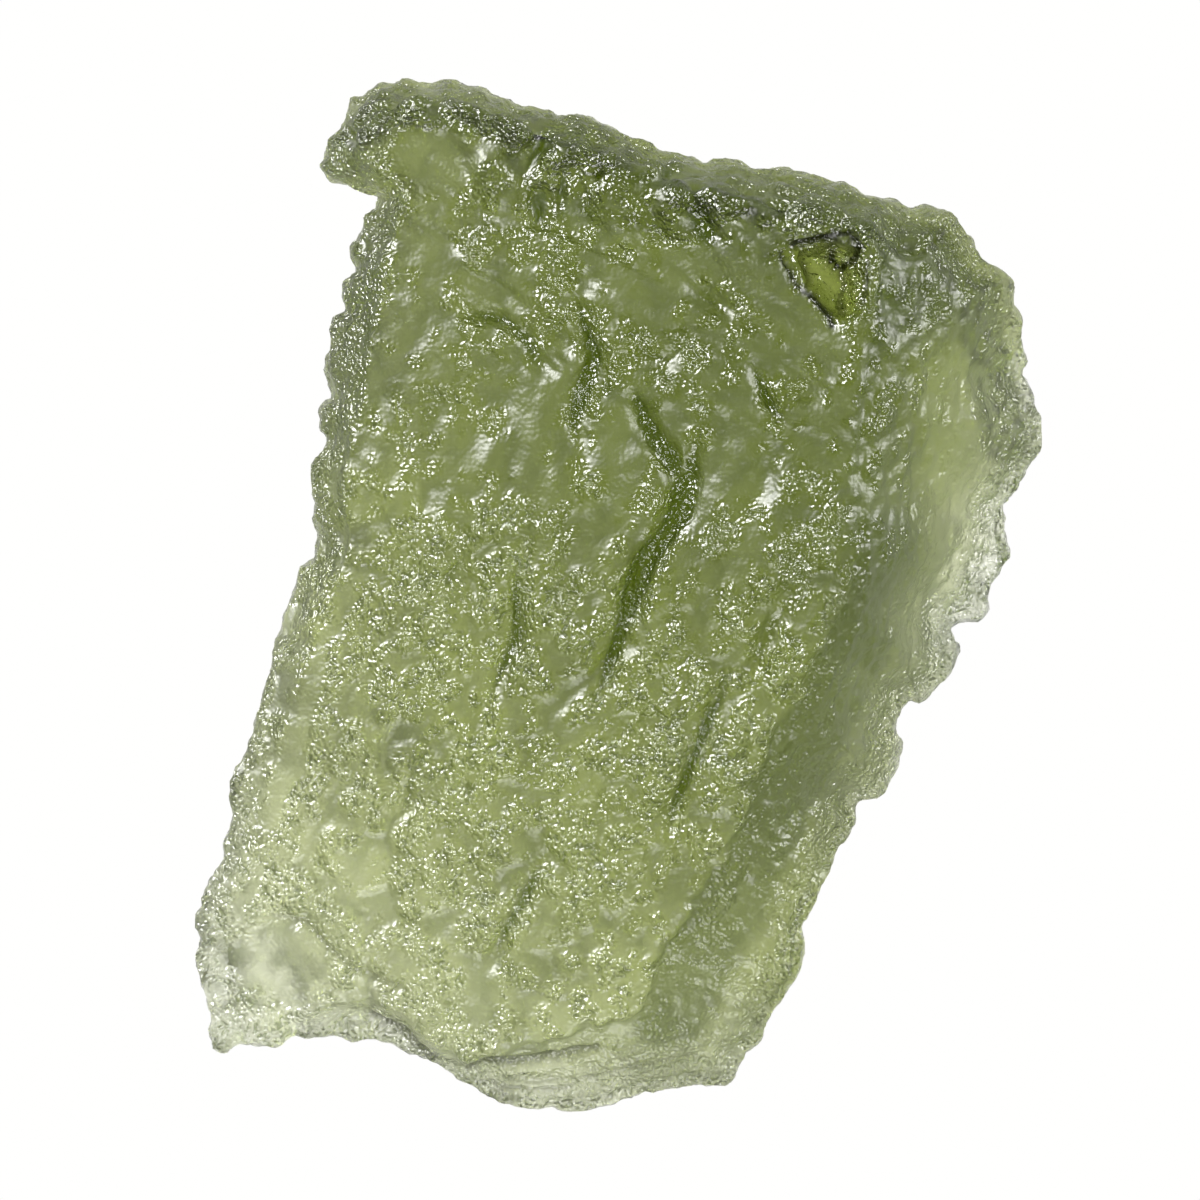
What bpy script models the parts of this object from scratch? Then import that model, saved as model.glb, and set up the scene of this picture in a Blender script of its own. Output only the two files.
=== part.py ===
"""Moldavite: one natural piece of green tektite glass, lying on the small flat spot of its underside.

Seen from above it is a slab with a knobbly, furrowed main face. Broad flanks fall from that face to a
scalloped rim. The right flank is the widest. The top end is thick and ends in a hook at the left. The
lower end has layered steps, and at the left of it a thin sheet stands out below an arch in the main face.

Frame: metres, +Z up, +Y towards the hooked end, +X towards the wide flank. The origin is on the surface
that the stone rests on, under the middle of its box. Every size and place below is in millimetres.
"""

import math

import bpy
import numpy as np
from mathutils import Vector, geometry, noise

MM = 0.001

# Driving dimensions: the slab between its main face and the foot it rests on
FACE_HEIGHT = 6.6  # of the main face over the resting surface, at the origin
FACE_RISE_X = 0.145  # of the main face, for each millimetre towards the wide flank
FACE_RISE_Y = 0.14  # and towards the hooked end
FACE_DOME = 0.0065  # how fast the main face falls off from its middle
FOOT_CENTRE = (-0.6, 0.9)
FOOT_RADII = (2.4, 3.2)
FOOT_CUT = 0.3  # taken off the underside where it would be lowest
UNDERSIDE_CURVE = 1.4  # how late the underside turns up to the rim
EDGE_THICKNESS = 0.45  # of the thinnest stretches of the rim
EDGE_MARGIN = 0.8  # in which the sculpture of the upper surface fades out towards the rim

# The rim, seen from above, clockwise from the tip of the hook
RIM = (
    (-8.85, 13.05), (-8.68, 13.55), (-8.30, 14.10), (-8.08, 14.65), (-8.00, 14.97), (-7.65, 15.08),
    (-7.25, 15.34), (-6.95, 15.43), (-6.70, 15.44), (-6.48, 15.64), (-6.15, 15.56), (-5.72, 15.40),
    (-5.35, 15.50), (-4.92, 15.58), (-4.55, 15.47), (-4.05, 15.30), (-3.50, 15.06), (-3.08, 14.98),
    (-2.85, 14.80), (-2.20, 14.62), (-1.72, 14.46), (-1.35, 14.56), (-0.90, 14.44), (-0.20, 14.15),
    (0.25, 13.88), (0.80, 13.66), (1.20, 13.40), (1.70, 13.28), (2.12, 13.24), (2.62, 13.00),
    (3.08, 13.08), (3.70, 12.92), (4.20, 12.78), (4.95, 12.84), (5.60, 12.72), (6.40, 12.58),
    (7.10, 12.38), (7.62, 12.06), (8.25, 11.96), (8.85, 11.64), (9.22, 11.76), (9.75, 11.60),
    (10.22, 11.32), (10.42, 10.92), (10.70, 10.45), (11.02, 10.05), (11.50, 9.88), (11.86, 9.55),
    (11.98, 8.95), (12.22, 8.45), (12.20, 7.90), (12.40, 7.30), (12.26, 6.70), (12.58, 6.22),
    (12.70, 5.75), (12.90, 5.30), (12.80, 4.95), (12.90, 4.58), (12.48, 4.15), (12.32, 3.75),
    (12.02, 3.25), (11.74, 2.80), (11.76, 2.20), (11.78, 1.85), (11.92, 1.32), (11.72, 0.92),
    (11.36, 0.55), (11.24, 0.05), (11.24, -0.42), (10.95, -0.70), (10.50, -0.70), (10.12, -1.00),
    (10.24, -1.32), (10.36, -1.72), (10.08, -2.12), (9.90, -2.46), (9.36, -2.98), (9.12, -3.20),
    (8.66, -3.12), (8.68, -3.38), (8.46, -3.72), (8.52, -4.15), (8.62, -4.55), (8.46, -5.00),
    (8.36, -5.45), (8.04, -6.02), (7.62, -6.12), (7.15, -6.34), (7.18, -6.90), (7.02, -7.28),
    (6.62, -7.66), (6.46, -8.18), (6.05, -8.90), (5.74, -9.50), (5.50, -9.98), (5.60, -10.50),
    (5.52, -11.20), (5.16, -11.90), (4.74, -12.45), (4.46, -12.95), (4.24, -13.55), (3.74, -13.98),
    (3.60, -14.52), (3.15, -14.88), (2.62, -14.88), (2.28, -14.82), (1.70, -14.98), (1.00, -15.04),
    (0.40, -15.24), (-0.20, -15.46), (-0.80, -15.58), (-1.50, -15.62), (-2.20, -15.46), (-3.00, -15.40),
    (-3.70, -15.18), (-4.25, -14.92), (-4.95, -14.56), (-5.55, -14.16), (-6.10, -13.94), (-6.60, -13.72),
    (-7.10, -13.52), (-7.90, -13.50), (-8.60, -13.42), (-9.30, -13.46), (-9.90, -13.40), (-10.45, -13.68),
    (-11.10, -13.60), (-11.62, -13.55), (-12.02, -13.84), (-12.34, -13.38), (-12.28, -12.80),
    (-12.50, -12.05), (-12.70, -11.45), (-12.72, -10.85), (-12.64, -10.35), (-12.84, -9.75),
    (-12.62, -9.15), (-12.42, -8.60), (-12.02, -8.08), (-11.94, -7.45), (-11.70, -6.90), (-11.64, -6.30),
    (-11.72, -5.72), (-11.42, -5.05), (-11.18, -4.35), (-10.98, -3.72), (-10.76, -3.10), (-10.56, -2.52),
    (-10.38, -1.98), (-10.32, -1.32), (-10.06, -0.55), (-9.88, 0.02), (-9.66, 0.42), (-9.62, 0.86),
    (-9.22, 1.02), (-9.06, 1.62), (-9.16, 2.42), (-9.12, 2.90), (-9.28, 3.50), (-9.18, 4.18),
    (-8.92, 4.46), (-8.72, 4.92), (-9.02, 5.06), (-9.00, 5.70), (-8.58, 5.98), (-8.68, 6.50),
    (-8.78, 7.00), (-8.52, 7.48), (-8.60, 8.00), (-8.32, 8.38), (-8.02, 8.58), (-8.20, 9.02),
    (-8.12, 9.45), (-7.84, 9.82), (-7.96, 10.48), (-7.58, 10.96), (-7.62, 11.32), (-7.20, 11.72),
    (-7.06, 12.04), (-7.34, 12.22), (-7.90, 12.32), (-8.24, 12.52), (-8.72, 12.68),
)

# The edge of the main face, where the flanks begin, clockwise from the neck of the hook
FACE_EDGE = (
    (-7.45, 12.95), (-7.55, 13.75), (-7.00, 14.45), (-5.90, 14.80), (-4.70, 14.75), (-3.40, 14.20),
    (-2.20, 13.75), (-0.80, 13.40), (0.60, 12.65), (2.20, 12.15), (4.00, 11.80), (5.70, 11.55),
    (7.20, 11.05), (7.95, 10.20), (7.75, 9.00), (7.55, 7.60), (7.25, 6.20), (7.20, 4.60),
    (7.10, 3.20), (7.20, 1.80), (7.05, 0.60), (6.60, -0.60), (6.05, -1.50), (5.75, -2.50),
    (5.20, -3.40), (4.55, -4.20), (4.35, -5.10), (3.90, -5.90), (3.70, -7.00), (3.15, -7.90),
    (2.50, -8.60), (2.10, -9.40), (1.50, -10.30), (0.98, -11.20), (0.78, -12.10), (0.40, -12.80),
    (-0.80, -12.90), (-2.00, -13.40), (-3.40, -13.80), (-4.60, -14.05), (-5.45, -13.80), (-6.00, -13.25),
    (-6.50, -12.70), (-7.20, -12.42), (-8.20, -12.40), (-9.20, -12.62), (-10.20, -13.00), (-11.10, -13.15),
    (-11.75, -12.85), (-12.00, -12.00), (-12.00, -11.00), (-12.05, -10.00), (-11.85, -9.00), (-11.30, -7.90),
    (-10.95, -6.70), (-10.70, -5.40), (-10.20, -4.00), (-9.75, -2.70), (-9.40, -1.40), (-8.95, -0.30),
    (-8.35, 0.80), (-8.15, 2.20), (-8.20, 3.60), (-7.90, 5.00), (-7.55, 6.40), (-7.35, 7.80),
    (-7.10, 9.20), (-6.85, 10.40), (-6.55, 11.40), (-6.60, 12.20),
)

# Places round the rim: x, y, the heights of the rim's lower and upper corner, and the flank's shape there:
# how hollow it is next to the rim, and how level next to the main face
RIM_PLACES = (
    (-8.8, 13.0, 2.9, 5.0, 0.6, 1.2),
    (-6.0, 15.5, 1.7, 4.6, 0.6, 1.1),
    (0.0, 14.0, 1.0, 5.2, 0.6, 1.1),
    (6.0, 12.6, 0.9, 5.0, 0.6, 1.1),
    (10.4, 11.0, 1.0, 4.8, 0.5, 1.6),
    (12.8, 5.0, 1.2, 2.2, 0.9, 1.6),
    (11.2, 0.0, 1.2, 1.8, 1.5, 1.6),
    (8.5, -4.5, 1.0, 2.4, 0.6, 2.0),
    (5.5, -10.7, 0.5, 4.3, 0.5, 1.5),
    (3.5, -14.6, 0.9, 2.2, 0.6, 1.5),
    (-1.5, -15.6, 1.0, 2.2, 0.8, 1.2),
    (-7.5, -13.5, 0.8, 1.6, 5.0, 0.5),
    (-12.0, -13.8, 1.0, 1.7, 0.9, 1.0),
    (-12.7, -10.5, 1.2, 2.2, 0.8, 1.0),
    (-10.4, -2.0, 1.2, 3.2, 0.7, 1.0),
    (-9.2, 3.5, 1.4, 4.2, 0.7, 1.0),
    (-7.2, 11.8, 2.0, 5.2, 0.7, 1.0),
)

# Furrows of the main face: depth, half width, and the line that each follows
FURROWS = (
    (0.55, 0.34, ((2.35, 4.50), (2.15, 3.70), (1.98, 3.30), (1.85, 2.50), (1.45, 1.85), (0.90, 1.15),
                  (0.45, 0.10), (-0.05, -1.40), (-0.55, -2.90))),
    (0.50, 0.28, ((0.50, 6.10), (0.78, 5.30), (1.20, 4.55), (1.65, 3.95), (1.98, 3.40))),
    (0.45, 0.32, ((-1.20, 9.00), (-1.00, 8.20), (-0.70, 7.35), (-0.88, 6.60), (-1.15, 5.90),
                  (-1.30, 5.20), (-1.15, 4.60))),
    (0.35, 0.26, ((-4.80, 8.75), (-4.20, 8.42), (-3.35, 8.30), (-2.70, 7.70), (-2.45, 7.05),
                  (-1.85, 6.70))),
    (0.35, 0.28, ((-2.85, 1.40), (-3.05, 0.20), (-3.05, -1.20), (-3.65, -2.60), (-3.95, -3.40))),
    (0.40, 0.30, ((3.35, -2.40), (2.75, -3.60), (2.25, -4.90), (1.70, -6.20), (1.50, -7.20))),
    (0.35, 0.28, ((-2.10, -7.70), (-2.70, -8.90), (-3.30, -9.90), (-3.80, -11.10))),
    (0.40, 0.22, ((4.05, 6.95), (4.30, 6.20), (4.60, 5.60), (5.05, 5.15))),
    (0.28, 0.24, ((0.40, 7.95), (0.85, 7.20), (1.55, 7.05), (2.00, 7.45))),
    (0.28, 0.22, ((2.20, 9.35), (2.65, 8.95), (3.10, 8.55), (3.35, 8.05))),
    (0.28, 0.28, ((5.10, 0.10), (4.40, -1.30), (3.90, -2.60))),
    (0.28, 0.26, ((-5.60, -4.20), (-6.20, -5.60), (-6.60, -7.00))),
    (0.25, 0.20, ((-10.40, -9.70), (-9.40, -9.95), (-8.80, -10.50), (-8.25, -11.05), (-7.40, -11.55),
                  (-6.45, -12.00))),
    (0.15, 0.20, ((-4.70, -14.35), (-3.60, -14.30), (-2.40, -14.15), (-1.40, -14.00),
                  (-0.60, -13.80))),
)

# Hollows of the main face: x, y, depth, half length, half width, and the long axis' angle from +X
HOLLOWS = (
    (-3.65, 9.05, 0.25, 1.50, 0.75, -18),
    (-2.40, 13.20, 0.50, 0.85, 0.32, 60),
    (-2.30, 11.65, 0.50, 0.75, 0.34, 82),
    (-1.68, 12.20, 0.45, 0.65, 0.20, 82),
    (-0.60, 12.50, 0.45, 0.35, 0.28, 60),
    (1.40, 12.55, 0.45, 0.45, 0.25, 60),
    (-1.75, 7.70, 0.20, 0.90, 0.55, -60),
    (-3.90, 5.60, 0.20, 1.60, 1.00, 60),
    (0.10, 5.00, 0.18, 1.10, 0.70, 80),
    (-5.40, 13.00, 0.20, 1.40, 0.90, -15),
    (1.00, 10.70, 0.20, 0.90, 0.40, -40),
    (0.25, 2.70, 0.18, 1.50, 0.60, 65),
    (-4.70, 0.40, 0.18, 1.10, 0.70, 70),
    (4.10, 3.20, 0.18, 1.50, 0.60, 60),
    (5.60, 6.40, 0.18, 1.10, 0.50, -35),
    (-10.30, -10.90, 0.20, 1.30, 0.90, -35),
    (3.55, 11.10, 0.20, 0.80, 0.35, -30),
)

# Ledges: how far the surface drops on the left of each line, the width of the drop, and how far it lasts
LEDGES = (
    (0.35, 0.30, 2.2, ((-7.40, 12.05), (-6.00, 11.90), (-5.00, 11.60), (-3.60, 11.10), (-1.70, 10.75),
                       (-0.50, 10.25), (0.80, 9.55), (2.50, 8.65), (5.00, 7.40), (7.10, 6.00))),
    (0.22, 0.28, 1.0, ((-6.60, 10.60), (-5.00, 10.35), (-3.40, 9.95), (-1.40, 9.45), (0.30, 8.75),
                       (1.90, 7.95), (3.60, 7.00), (5.20, 6.20))),
    (0.18, 0.28, 1.2, ((-5.20, 8.60), (-4.50, 8.30), (-3.00, 7.90), (-1.70, 7.30), (-1.20, 6.60))),
)

# The fresh chip beside the top of the wide flank: its corners, its depth, the width of its sloping edge,
# and the size and slant of its fracture faces
CHIP = ((4.70, 10.35), (6.10, 10.75), (7.25, 10.55), (7.45, 9.40), (7.35, 8.30), (6.60, 7.90), (5.60, 9.00))
CHIP_DEPTH = 1.2
CHIP_EDGE = 0.7
CHIP_FACET = 1.1
CHIP_SLANT = 0.9

# Layers of the glass that show as steps in the flank at the lower end: their spacing, slant, bow and depth
LAYER_STEP = 0.45
LAYER_SLANT = 0.16
LAYER_BOW = 0.010
LAYER_DEPTH = 0.20

# The etched skin: knobs, drawn out along the stone, on slow swells, and flutes that run up from the rim
KNOB_SPACING = 1.25
KNOB_HEIGHT = 0.30
KNOB_STRETCH = 1.35
KNOB_DIRECTION = 62.0
SMOOTHER_HALF = 0.45  # how much of the knobs is missing from the main face at the hooked end
SMOOTHER_FLANK = 0.70  # and from the wide flank
SMOOTHER_RIM = 0.65  # and from the rim's upright wall
SWELL_SIZE = 2.8
SWELL_HEIGHT = 0.16
FLUTE_SPACING = 0.90
FLUTE_DEPTH = 0.16
FLUTE_REACH = 1.6

# The mesh: the spacing of the points that the form is worked out at, and of those that carry the skin
LATTICE = 0.24
SKIN_VOXEL = 0.24
TRIANGLES = 9400
FLAT_WITHIN = 0.03  # points lower than this are on the flat spot that the stone rests on


def smoothstep(low, high, value):
    """0 below low, 1 above high, and a smooth rise between them."""
    share = np.clip((value - low) / (high - low), 0.0, 1.0)
    return share * share * (3.0 - 2.0 * share)


def closed_curve(points, step):
    """Points about a step apart on the smooth closed curve through the given ones (Catmull-Rom)."""
    given = np.array(points, float)
    before = np.roll(given, 1, axis=0)
    after = np.roll(given, -1, axis=0)
    further = np.roll(given, -2, axis=0)
    curve = []
    for a, b, c, d in zip(before, given, after, further):
        count = max(1, round(float(np.linalg.norm(c - b)) / step))
        for t in np.arange(count) / count:
            straight = 2.0 * b + (c - a) * t
            bent = (2.0 * a - 5.0 * b + 4.0 * c - d) * t**2 + (3.0 * b - a - 3.0 * c + d) * t**3
            curve.append((straight + bent) / 2.0)
    return np.array(curve)


def near_line(points, line, closed=False):
    """Each point's distance to a line, its place along the line, and 1 on its left or -1 on its right."""
    line = np.array(line, float)
    starts = line if closed else line[:-1]
    ends = np.roll(line, -1, axis=0) if closed else line[1:]
    along = ends - starts
    lengths = np.linalg.norm(along, axis=1)
    begins = np.cumsum(lengths) - lengths
    distance, place, side = [], [], []
    for few in np.array_split(points, len(points) // 2000 + 1):
        offset = few[:, None, :] - starts[None, :, :]
        share = np.clip((offset * along).sum(2) / lengths**2, 0.0, 1.0)
        gap = np.linalg.norm(offset - share[:, :, None] * along, axis=2)
        best = gap.argmin(axis=1)
        rows = np.arange(len(few))
        distance.append(gap[rows, best])
        place.append(begins[best] + share[rows, best] * lengths[best])
        turn = along[best, 0] * offset[rows, best, 1] - along[best, 1] * offset[rows, best, 0]
        side.append(np.where(turn > 0.0, 1.0, -1.0))
    return np.concatenate(distance), np.concatenate(place), np.concatenate(side)


def inside(points, outline):
    """True for each point inside a closed outline."""
    x, y = points.T
    found = np.zeros(len(points), bool)
    for (ax, ay), (bx, by) in zip(outline, np.roll(outline, -1, axis=0)):
        if ay != by:
            found ^= ((ay > y) != (by > y)) & (x < ax + (y - ay) * (bx - ax) / (by - ay))
    return found


def turned(points, degrees):
    """The points in axes turned by this angle about +Z."""
    angle = math.radians(degrees)
    result = points.copy()
    result[:, 0] = points[:, 0] * math.cos(angle) + points[:, 1] * math.sin(angle)
    result[:, 1] = points[:, 1] * math.cos(angle) - points[:, 0] * math.sin(angle)
    return result


def rim_fields(points):
    """The heights of the rim's corners and the flank's shape at each point, blended between places."""
    places = np.array(RIM_PLACES)
    gap = np.linalg.norm(points[:, None, :] - places[None, :, :2], axis=2)
    weight = 1.0 / (gap + 0.3) ** 3
    return (weight @ places[:, 2:]).T / weight.sum(axis=1)


def face_height(points):
    """The main face's height without its sculpture. It runs on smoothly past its own edge."""
    x, y = points.T
    fall = FACE_DOME * ((x + 1.0) ** 2 + 0.5 * (y - 2.0) ** 2)
    return FACE_HEIGHT + FACE_RISE_X * x + FACE_RISE_Y * y - fall


def furrow_depth(points):
    """How deep the furrows cut at each point. They taper to both ends."""
    cut = np.zeros(len(points))
    for depth, half_width, line in FURROWS:
        distance, place, _ = near_line(points, line)
        length = np.linalg.norm(np.diff(np.array(line), axis=0), axis=1).sum()
        taper = np.sqrt(smoothstep(-0.15, 0.35, np.minimum(place, length - place) / length))
        width = half_width * (0.4 + 0.6 * taper)
        cut = np.maximum(cut, depth * taper * np.exp(-((distance / width) ** 2)))
    return cut


def hollow_depth(points):
    """How deep the oval hollows cut at each point."""
    cut = np.zeros(len(points))
    for x, y, depth, half_length, half_width, degrees in HOLLOWS:
        place = turned(points - (x, y), degrees) / (half_length, half_width)
        cut = np.maximum(cut, depth * (1.0 - smoothstep(0.35, 1.15, np.linalg.norm(place, axis=1))))
    return cut


def ledge_drop(points):
    """How far the ledges lower the surface at each point: most just left of the line, less further off."""
    drop = np.zeros(len(points))
    for depth, width, reach, line in LEDGES:
        distance, place, side = near_line(points, line)
        length = np.linalg.norm(np.diff(np.array(line), axis=0), axis=1).sum()
        taper = smoothstep(0.0, 0.15, np.minimum(place, length - place) / length)
        step = smoothstep(-width / 2.0, width / 2.0, side * distance)
        drop += depth * taper * step * np.exp(-distance / reach)
    return drop


def chip_depth(points):
    """How deep the fresh chip cuts at each point: a scoop of flat fracture faces."""
    to_edge = near_line(points, CHIP, closed=True)[0]
    share = np.where(inside(points, CHIP), smoothstep(0.0, CHIP_EDGE, to_edge), 0.0)
    slant = []
    for x, y in points / CHIP_FACET:
        middle = noise.voronoi(Vector((x, y, 4.0)))[1][0]
        lean = noise.cell_vector(middle * 7.0)
        slant.append((x - middle.x) * (lean.x - 0.5) + (y - middle.y) * (lean.y - 0.5))
    return share * (CHIP_DEPTH + CHIP_SLANT * np.array(slant))


def layer_steps(points, on_face):
    """Rounded treads and steep risers, along the layers of the glass, in the flank at the lower end."""
    x, y = points.T
    across = y - LAYER_SLANT * x - LAYER_BOW * (x + 1.0) ** 2
    share = np.mod(across / LAYER_STEP, 1.0)
    step = share - smoothstep(0.72, 1.0, share) - 0.36
    there = (1.0 - smoothstep(-13.5, -12.6, across)) * smoothstep(-6.2, -4.6, x)
    return np.where(on_face, 0.0, LAYER_DEPTH * there * step)


def top_height(points, rim):
    """The height of the upper surface at each point, without the etched skin."""
    to_rim = near_line(points, rim, closed=True)[0]
    on_face = inside(points, FACE_EDGE)
    to_face = np.where(on_face, 0.0, near_line(points, FACE_EDGE, closed=True)[0])
    low, high, hollow, level = rim_fields(points)
    share = to_rim / (to_rim + to_face + 1e-6)
    climb = share**hollow / (share**hollow + (1.0 - share) ** level)
    height = high + (face_height(points) - high) * climb
    sculpture = layer_steps(points, on_face) - furrow_depth(points) - hollow_depth(points)
    sculpture -= ledge_drop(points) + chip_depth(points)
    height += smoothstep(0.0, EDGE_MARGIN, to_rim) * sculpture
    return np.maximum(height, low + EDGE_THICKNESS)


def underside_height(points, rim):
    """The height of the lower surface at each point: lowest at the foot, and rising to the rim."""
    to_rim = near_line(points, rim, closed=True)[0]
    from_foot = np.linalg.norm((points - FOOT_CENTRE) / FOOT_RADII, axis=1)
    to_foot = np.maximum(from_foot - 1.0, 0.0) * min(FOOT_RADII)
    rise = (to_foot / (to_rim + to_foot + 1e-6)) ** UNDERSIDE_CURVE
    return rim_fields(points)[0] * rise - FOOT_CUT


def surface_points(outline):
    """The outline's points, then a triangular lattice of points inside it that keeps clear of it."""
    low, high = outline.min(axis=0), outline.max(axis=0)
    lattice = []
    for number, y in enumerate(np.arange(low[1], high[1], LATTICE * math.sqrt(0.75))):
        shift = LATTICE / 2.0 * (number % 2)
        lattice += [(x + shift, y) for x in np.arange(low[0], high[0], LATTICE)]
    lattice = np.array(lattice)
    lattice = lattice[inside(lattice, outline)]
    clear = near_line(lattice, outline, closed=True)[0] > 0.55 * LATTICE
    return np.concatenate([outline, lattice[clear]])


def triangulated(points, outline):
    """Counterclockwise triangles over the points and inside the outline, which is the first of them."""
    count = len(outline)
    border = [(here, (here + 1) % count) for here in range(count)]
    found = geometry.delaunay_2d_cdt([Vector(p) for p in points], border, [], 0, 1e-6, True)
    corners = np.array([[found[3][corner][0] for corner in face] for face in found[2]])
    kept = corners[inside(points[corners].mean(axis=1), outline)]
    a, b, c = points[kept].transpose(1, 0, 2)
    left_turn = (b - a)[:, 0] * (c - a)[:, 1] > (b - a)[:, 1] * (c - a)[:, 0]
    return np.where(left_turn[:, None], kept, kept[:, ::-1])


def form_mesh():
    """The stone's form: an upper surface, an underside, and the rim's narrow wall between them."""
    rim = closed_curve(RIM, LATTICE)
    points = surface_points(rim)
    upward = triangulated(points, rim)
    top = np.column_stack([points, top_height(points, rim)])
    base = np.column_stack([points, underside_height(points, rim)])
    count, edge = len(points), len(rim)
    downward = upward[:, ::-1] + count
    wall = [(here, (here + 1) % edge, (here + 1) % edge + count, here + count) for here in range(edge)]
    mesh = bpy.data.meshes.new("form")
    faces = upward.tolist() + downward.tolist() + wall
    mesh.from_pydata((np.concatenate([top, base]) * MM).tolist(), [], faces)
    return mesh


def with_modifier(mesh, kind, **settings):
    """A copy of the mesh as one modifier leaves it."""
    holder = bpy.data.objects.new("holder", mesh)
    bpy.context.scene.collection.objects.link(holder)
    modifier = holder.modifiers.new(kind.lower(), kind)
    for name, value in settings.items():
        setattr(modifier, name, value)
    graph = bpy.context.evaluated_depsgraph_get()
    result = bpy.data.meshes.new_from_object(holder.evaluated_get(graph))
    bpy.data.objects.remove(holder)
    return result


def coordinates(mesh, what="co"):
    """The mesh's points or their normals as an array."""
    values = np.empty(len(mesh.vertices) * 3)
    mesh.vertices.foreach_get(what, values)
    return values.reshape(-1, 3)


def skin_height(points, normals):
    """How far the etched skin stands out at each point."""
    flat = points[:, :2]
    x, y = flat.T
    place = turned(points, KNOB_DIRECTION) / (KNOB_SPACING * KNOB_STRETCH, KNOB_SPACING, KNOB_SPACING)
    knob, swell = [], []
    for near, far in zip(place, points / SWELL_SIZE):
        first, second = noise.voronoi(Vector(near))[0][:2]
        knob.append(math.sqrt(min(1.0, 1.6 * (second - first))) - 0.55)
        swell.append(noise.noise(Vector(far)))

    up = smoothstep(0.2, 0.7, normals[:, 2])
    upper_half = SMOOTHER_HALF * smoothstep(-1.0, 6.0, y + 0.25 * x)
    wide_flank = np.where(inside(flat, FACE_EDGE), 0.0, SMOOTHER_FLANK * smoothstep(6.0, 8.0, x - 0.45 * y))
    wall = 1.0 - smoothstep(0.1, 0.6, np.abs(normals[:, 2]))
    height = KNOB_HEIGHT * np.array(knob) * (1.0 - up * np.maximum(upper_half, wide_flank))
    height *= 1.0 - SMOOTHER_RIM * wall
    height += SWELL_HEIGHT * np.array(swell)

    to_rim, along_rim, _ = near_line(flat, RIM, closed=True)
    flute = [noise.noise(Vector((s / FLUTE_SPACING, 0.2 * d, 41.0))) for s, d in zip(along_rim, to_rim)]
    return height + FLUTE_DEPTH * np.array(flute) * np.exp(-to_rim / FLUTE_REACH)


def stone_mesh():
    """The form with its etched skin, the foot cut flat, thinned to its triangle budget."""
    mesh = with_modifier(form_mesh(), "REMESH", mode="VOXEL", voxel_size=SKIN_VOXEL * MM)
    mesh = with_modifier(mesh, "SMOOTH", iterations=2)
    points, normals = coordinates(mesh) / MM, coordinates(mesh, "normal")
    low, high = points.min(axis=0), points.max(axis=0)
    points += normals * skin_height(points, normals)[:, None]
    points[:, :2] = np.clip(points[:, :2], low[:2], high[:2])
    points[:, 2] = np.maximum(points[:, 2], 0.0)
    mesh.vertices.foreach_set("co", (points * MM).ravel())
    mesh.update()
    ratio = TRIANGLES / (2 * len(mesh.polygons))
    mesh = with_modifier(mesh, "DECIMATE", ratio=ratio, use_collapse_triangulate=True)
    points = coordinates(mesh) / MM
    points[points[:, 2] < FLAT_WITHIN, 2] = 0.0
    points[:, :2] -= (points.min(axis=0) + points.max(axis=0))[:2] / 2.0
    mesh.vertices.foreach_set("co", (points * MM).ravel())
    mesh.shade_smooth()
    mesh.name = "moldavite"
    return mesh


def glass_material():
    """Moldavite glass: bottle green with olive, see-through, with a satin etched skin."""
    material = bpy.data.materials.new("moldavite_glass")
    material.use_nodes = True
    shader = material.node_tree.nodes["Principled BSDF"]
    shader.inputs["Base Color"].default_value = (0.27, 0.34, 0.11, 1.0)
    shader.inputs["Roughness"].default_value = 0.25
    shader.inputs["Metallic"].default_value = 0.0
    shader.inputs["IOR"].default_value = 1.49
    shader.inputs["Transmission Weight"].default_value = 0.8
    return material


for old in list(bpy.data.objects):
    bpy.data.objects.remove(old)
stone = bpy.data.objects.new("moldavite", stone_mesh())
stone.data.materials.append(glass_material())
bpy.context.scene.collection.objects.link(stone)
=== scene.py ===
"""The looks of the moldavite: its etched glass skin, on a plain pale floor under soft studio light.

The stone is one piece of natural glass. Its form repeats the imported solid's named values, in millimetres, on
a mesh with about twenty times as many faces, which carries the ripples, streaks and cracks that the solid
leaves out.
"""

import math
from types import SimpleNamespace

import bpy
import numpy as np
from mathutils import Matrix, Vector, geometry, noise


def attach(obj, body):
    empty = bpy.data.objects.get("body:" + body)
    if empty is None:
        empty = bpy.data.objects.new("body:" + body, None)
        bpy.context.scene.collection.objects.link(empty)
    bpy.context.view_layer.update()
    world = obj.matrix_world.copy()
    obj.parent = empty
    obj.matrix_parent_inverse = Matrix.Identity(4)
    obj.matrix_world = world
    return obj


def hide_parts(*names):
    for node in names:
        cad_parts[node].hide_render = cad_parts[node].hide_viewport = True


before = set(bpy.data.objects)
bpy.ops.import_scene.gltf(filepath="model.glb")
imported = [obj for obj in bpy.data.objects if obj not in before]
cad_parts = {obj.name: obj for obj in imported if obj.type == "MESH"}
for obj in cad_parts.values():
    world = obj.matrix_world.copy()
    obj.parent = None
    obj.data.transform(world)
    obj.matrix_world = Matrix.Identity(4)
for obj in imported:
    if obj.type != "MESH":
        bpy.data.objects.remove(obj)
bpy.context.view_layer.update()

MM = 0.001

# Driving dimensions, as in the solid: the slab between its main face and the foot it rests on
FACE_HEIGHT = 6.6
FACE_RISE_X = 0.145
FACE_RISE_Y = 0.14
FACE_DOME = 0.0065
DOME_CENTRE = (-1.0, 2.0)
DOME_SHARE = 0.5  # of the dome's bend that there is along the stone
FOOT_CENTRE = (-0.6, 0.9)
FOOT_RADII = (2.4, 3.2)
FOOT_CUT = 0.3
UNDERSIDE_CURVE = 1.4
EDGE_THICKNESS = 0.45
EDGE_MARGIN = 0.8

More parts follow.
